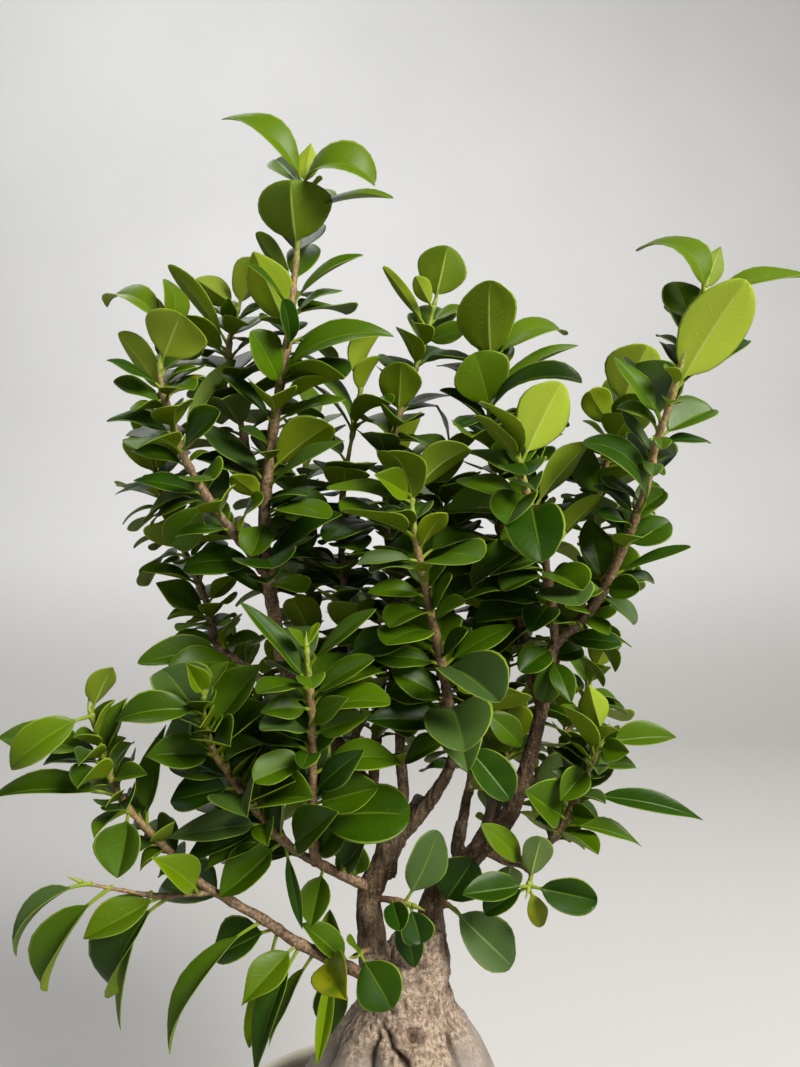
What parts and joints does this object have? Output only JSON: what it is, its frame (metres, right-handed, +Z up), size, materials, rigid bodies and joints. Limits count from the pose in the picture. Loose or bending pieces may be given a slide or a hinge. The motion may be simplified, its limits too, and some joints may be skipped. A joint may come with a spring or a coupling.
{
  "type": "ginseng ficus in a pot",
  "caption": "Ginseng ficus: a swollen grey-beige root and short neck with grafted limbs and upright leafy stems, standing in soil in a plain round tapered pot.",
  "frame": {"origin": "middle of the pot's flat underside", "axes": "+Z up along the pot, -Y towards the viewer of the picture, +X to the viewer's right"},
  "size_m": [0.4266, 0.2399, 0.7284],
  "materials": {
    "pot": "satin",
    "soil": "matte",
    "bark": "rough",
    "leafy_stem": "satin"
  },
  "bodies": {
    "root": {"pot": "pot", "soil": "soil", "trunk": "bark", "stem_left_crown": "leafy_stem", "stem_left_rear": "leafy_stem", "stem_left_low": "leafy_stem", "stem_left_middle": "leafy_stem", "stem_centre": "leafy_stem", "stem_centre_top": "leafy_stem", "stem_centre_left": "leafy_stem", "stem_centre_rear": "leafy_stem", "stem_right_crown": "leafy_stem", "stem_right_centre": "leafy_stem", "stem_right_rear": "leafy_stem", "stem_right_low": "leafy_stem", "sprout_right": "leafy_stem", "sprout_front": "leafy_stem", "sprout_left": "leafy_stem", "stem_back_left": "leafy_stem", "stem_back": "leafy_stem", "stem_back_right": "leafy_stem", "stem_back_low_left": "leafy_stem", "stem_back_low_right": "leafy_stem"}
  },
  "joints": []
}
